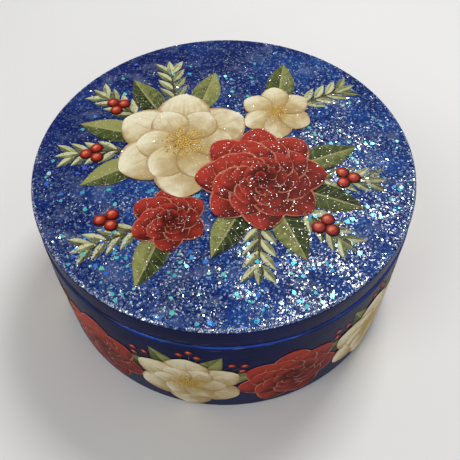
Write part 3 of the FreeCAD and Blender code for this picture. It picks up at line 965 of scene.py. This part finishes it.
def add_garland():
    pitch = 360 / GARLAND_REPEATS
    for i in range(GARLAND_REPEATS):
        turn = pitch * i - GARLAND_START
        leaf_spray().on_wall(
            f"wall_leaf_spray_{i + 1}", turn, WALL_LAYERS["leaf_spray"],
            ["leaf", "berry", "stem"], "leaf_paper")
        bloom("wall_cream", WALL_PETAL_LENGTH["cream"], "cream").on_wall(
            f"wall_cream_bloom_{i + 1}", turn, WALL_LAYERS["cream_bloom"],
            ["cream", "stamen"], "cream_paper")
        bloom("wall_red", WALL_PETAL_LENGTH["red"], "red").on_wall(
            f"wall_red_bloom_{i + 1}", turn + pitch / 2, WALL_LAYERS["red_bloom"],
            ["red"], "red_paper")


# Glitter


def in_blade(x, y, base, turn, size, form):
    """Which of the points lie in a leaf or petal."""
    length, width = size
    angle = math.radians(turn)
    dx, dy = x - base[0], y - base[1]
    along = (-math.sin(angle) * dx + math.cos(angle) * dy) / length
    across = math.cos(angle) * dx + math.sin(angle) * dy
    share = np.clip(along, 0, 1) ** form[0]
    half = width / 2 * np.clip(np.sin(np.pi * share), 0, 1) ** form[1]
    return (along > 0) & (along < 1) & (np.abs(across) < half)


def paper_top(x, y):
    """Height of the leaves and blooms over the lid's coat at each point, 0 where there are none."""
    top = np.zeros_like(x)
    for kind, angles in LEAF_DIRECTIONS.items():
        for direction in angles:
            under = in_blade(x, y, beside(kind, direction, -LEAF_TUCK), direction - 90, LEAF_SIZE, LEAF)
            top[under] = np.maximum(top[under], LID_LAYERS["leaf"] * PAPER + PRINT)
    for kind, (middle, length) in BLOOMS.items():
        count = RINGS[kind][0][0]
        height = LID_LAYERS[kind] * PAPER + PRINT + STEP * len(RINGS[kind])
        for i in range(count):
            under = in_blade(x, y, middle, 360 * i / count, (length, PETAL_WIDTH[kind]), PETAL)
            top[under] = np.maximum(top[under], height)
    return top


# Waves that make patches: their lengths as shares of the patches' size, and how far they bend.
BEND_BY_Y = 1.45
WAVE_ALONG_Y = 0.92
BEND_BY_X = 1.35
BEND = 2


def patches(x, y, size):
    """Uneven patches of about a size, from -1 to 1: waves along x and y, each bent by the other."""
    first = np.sin(x / size + BEND * np.sin(y / (BEND_BY_Y * size)))
    second = np.cos(y / (WAVE_ALONG_Y * size) + BEND * np.sin(x / (BEND_BY_X * size)))
    return first * second


# How thickly the glitter lies: size, mean and swing of its drifts and of clumps in them, and the least left.
DRIFT_SIZE = 6.0
DRIFT_MEAN = 0.56
DRIFT_SWING = 0.7
DRIFT_LEAST = 0.08
CLUMP_SIZE = 1.9
CLUMP_MEAN = 0.75
CLUMP_SWING = 0.25

# It thickens to the front right: how thick it is at the middle, and the gain to the right or front edge.
SLOPE_MIDDLE = 0.62
SLOPE_GAIN = 0.36

# The border, in shares of the coat's radius, and how bare it is: its mean, gain to the back right, and most.
BORDER_START = 0.62
BORDER_WIDTH = 0.34
BARE_MEAN = 0.4
BARE_GAIN = 0.41
BARE_MOST = 0.85


def strewn(x, y):
    """How thickly the glitter lies at each point, from 0 to 1."""
    drifts = np.clip(DRIFT_MEAN + DRIFT_SWING * patches(x, y, DRIFT_SIZE), DRIFT_LEAST, 1)
    clumps = CLUMP_MEAN + CLUMP_SWING * patches(x, y, CLUMP_SIZE)
    slope = np.clip(SLOPE_MIDDLE + SLOPE_GAIN * (x - y) / COAT_RADIUS, 0, 1)
    border = np.clip((np.hypot(x, y) / COAT_RADIUS - BORDER_START) / BORDER_WIDTH, 0, 1)
    bare = border * np.clip(BARE_MEAN + BARE_GAIN * (x + y) / COAT_RADIUS, 0, BARE_MOST)
    return drifts * clumps * slope * (1 - bare)


def coat_edge(away):
    """How far the coat lies below its flat middle at a distance from the axis, and its slope there."""
    past = np.clip((away - COAT_FLAT) / COAT_ROUND, 0, 1)
    return COAT_ROUND * (1 - np.sqrt(1 - past**2)), np.arcsin(past)


def places_on_lid(thrown, span, on_coat, on_paper):
    """Where flakes stay: x, y, direction from the axis, and height and slope of the ground there."""
    away = GLITTER_REACH * np.sqrt(chance.uniform(span[0] ** 2, span[1] ** 2, thrown))
    angle = 2 * np.pi * chance.random(thrown)
    x, y = away * np.cos(angle), away * np.sin(angle)
    top = paper_top(x, y)
    kept = chance.random(thrown) < np.where(top == 0, on_coat * strewn(x, y), on_paper)
    drop, slope = coat_edge(away[kept])
    return x[kept], y[kept], angle[kept], LID_TOP + top[kept] - drop, slope


# A flake's height over the ground, its point's depth, its corners' chance turn and reach, in shares of a side
# and of its radius, and how much more a loose flake leans.
FLAKE_LIFT = 0.02
FLAKE_DEPTH = 0.05
CORNER_SWAY = 0.18
CORNER_REACH = (0.75, 1.2)
LOOSE_LEAN = 3.2


def add_flakes(
    name, material, thrown, sides, sizes, lean, tone_power,
    on_coat=0.0, on_paper=0.0, span=(0, 1), slim=1.0, loose=0.0,
):
    """Flakes of film strewn over the lid, each leaning its own way, with a point down in the coat.

    thrown is how many fall, on_coat and on_paper how readily they stay there, and span the part of the radius
    they fall on. sizes are the least and greatest across, lean the usual tilt in radians, slim how narrow the
    narrowest is, and loose the share that lean more.
    """
    x, y, angle, ground, slope = places_on_lid(thrown, span, on_coat, on_paper)
    count = len(x)
    size = chance.uniform(*sizes, count) / 2
    tone = chance.random(count) ** tone_power
    tilt = np.abs(chance.normal(0, lean, count)) * np.where(chance.random(count) < loose, LOOSE_LEAN, 1)
    heading = 2 * np.pi * chance.random(count)
    spin = 2 * np.pi * chance.random(count)
    narrow = chance.uniform(slim, 1, count)
    points = np.zeros((count, sides + 1, 3))
    for k in range(sides):
        corner = spin + 2 * np.pi * (k + chance.uniform(-CORNER_SWAY, CORNER_SWAY, count)) / sides
        reach = size * chance.uniform(*CORNER_REACH, count)
        # u runs up the flake's lean and v level across it.
        u, v = reach * np.cos(corner) * narrow, reach * np.sin(corner) / narrow
        dx = u * np.cos(tilt) * np.cos(heading) - v * np.sin(heading)
        dy = u * np.cos(tilt) * np.sin(heading) + v * np.cos(heading)
        # Where the coat slopes, the flake slopes with it.
        outward = dx * np.cos(angle) + dy * np.sin(angle)
        fold = outward * (1 - np.cos(slope))
        points[:, k, 0] = x + dx - fold * np.cos(angle)
        points[:, k, 1] = y + dy - fold * np.sin(angle)
        points[:, k, 2] = ground + FLAKE_LIFT + (u + size) * np.sin(tilt) - outward * np.sin(slope)
    points[:, sides, 0] = x
    points[:, sides, 1] = y
    points[:, sides, 2] = ground - FLAKE_DEPTH
    faces = []
    for first in range(0, count * (sides + 1), sides + 1):
        faces.append(tuple(range(first, first + sides)))
        faces += [(first + k, first + sides, first + (k + 1) % sides) for k in range(sides)]
    places = points.reshape(-1, 3).tolist()
    paint = {"tone": np.repeat(tone, sides + 1)}
    piece = new_object(name, places, faces, [material], "lid", paint=paint, smooth=False)


def add_glitter():
    add_flakes(
        "glitter_fine", "silver", thrown=88000, sides=4, sizes=(0.35, 0.9), lean=0.11, tone_power=1.7,
        on_coat=1.0, slim=0.55, loose=0.22)
    add_flakes(
        "glitter_on_paper", "pale", thrown=11000, sides=4, sizes=(0.25, 0.55), lean=0.12, tone_power=1.0,
        on_paper=0.45, slim=0.55, loose=0.22)
    add_flakes(
        "glitter_rim", "silver", thrown=5000, sides=4, sizes=(0.3, 0.7), lean=0.12, tone_power=0.5,
        on_coat=3.5, span=(0.985, 1))
    add_flakes(
        "glitter_coarse", "colour", thrown=1000, sides=6, sizes=(0.8, 2.2), lean=0.14, tone_power=0.8,
        on_coat=1.8, span=(0, 0.975))


# Stage

# Half the floor's side, in metres.
FLOOR_HALF = 4.0

# Square lamps: name, place, target and side, in metres, and power in watts.
LAMPS = (
    ("key", (0.25, 0.4, 0.85), (0.0, 0.0, 0.06), 0.28, 4.5),
    ("left", (-0.5, -0.35, 0.85), (0.0, 0.0, 0.05), 0.4, 1.7),
    ("front", (0.1, -1.0, 0.6), (0.0, 0.0, 0.03), 0.7, 0.5),
)

# The fitted camera: its distance from the middle of the foot, and angles in radians.
CAMERA_DISTANCE = 311.4
CAMERA_ELEVATION = 0.988
CAMERA_YAW = -0.0075
CAMERA_PITCH = 0.0357
CAMERA_ROLL = -0.0284

# Its focal length and the photograph's width, in pixels.
FOCAL_LENGTH = 608.94
PHOTO_WIDTH = 460


def add_floor():
    mesh = bpy.data.meshes.new("floor")
    corners = [(-1, -1), (1, -1), (1, 1), (-1, 1)]
    mesh.from_pydata([(x * FLOOR_HALF, y * FLOOR_HALF, 0) for x, y in corners], [], [(0, 1, 2, 3)])
    mesh.materials.append(floor_paint())
    floor = bpy.data.objects.new("floor", mesh)
    bpy.context.scene.collection.objects.link(floor)


def add_light(name, place, target, size, power):
    light = bpy.data.lights.new(name, "AREA")
    light.shape = "SQUARE"
    light.size = size
    light.energy = power
    lamp = bpy.data.objects.new(name, light)
    lamp.location = place
    lamp.rotation_mode = "QUATERNION"
    lamp.rotation_quaternion = (Vector(target) - Vector(place)).to_track_quat("-Z", "Y")
    bpy.context.scene.collection.objects.link(lamp)


def add_world():
    """Even pale surroundings: near white where they are seen or mirrored, softer as light."""
    world = bpy.data.worlds.new("studio")
    bpy.context.scene.world = world
    world.use_nodes = True
    tree = world.node_tree
    back = tree.nodes["Background"]
    back.inputs["Color"].default_value = BACKDROP
    strength = tree.nodes.new("ShaderNodeMapRange")
    strength.inputs["To Min"].default_value = BACKDROP_LIGHT
    strength.inputs["To Max"].default_value = BACKDROP_SEEN
    tree.links.new(seen_rays(tree), strength.inputs["Value"])
    tree.links.new(strength.outputs[0], back.inputs["Strength"])


def add_camera():
    """The photograph's view: a pinhole fitted to the lid's edge, the ledge and the foot."""
    right = Vector((1, 0, 0))
    ahead = Vector((0, math.cos(CAMERA_ELEVATION), -math.sin(CAMERA_ELEVATION)))
    place = -ahead * CAMERA_DISTANCE * MM
    up = right.cross(ahead)
    turn = Matrix.Rotation(CAMERA_YAW, 3, up)
    ahead, right = turn @ ahead, turn @ right
    ahead = Matrix.Rotation(CAMERA_PITCH, 3, right) @ ahead
    up = right.cross(ahead)
    right = right * math.cos(CAMERA_ROLL) + up * math.sin(CAMERA_ROLL)
    up = right.cross(ahead)
    data = bpy.data.cameras.new("camera")
    data.sensor_width = 36.0
    data.lens = FOCAL_LENGTH / PHOTO_WIDTH * data.sensor_width
    data.clip_start = 0.01
    camera = bpy.data.objects.new("camera", data)
    basis = Matrix((right, up, -ahead)).transposed()
    camera.matrix_world = Matrix.Translation(place) @ basis.to_4x4()
    bpy.context.scene.collection.objects.link(camera)
    bpy.context.scene.camera = camera


add_box()
add_bouquet()
add_garland()
add_glitter()
add_floor()
add_world()
for lamp in LAMPS:
    add_light(*lamp)
add_camera()
bpy.context.scene.view_settings.view_transform = "Standard"
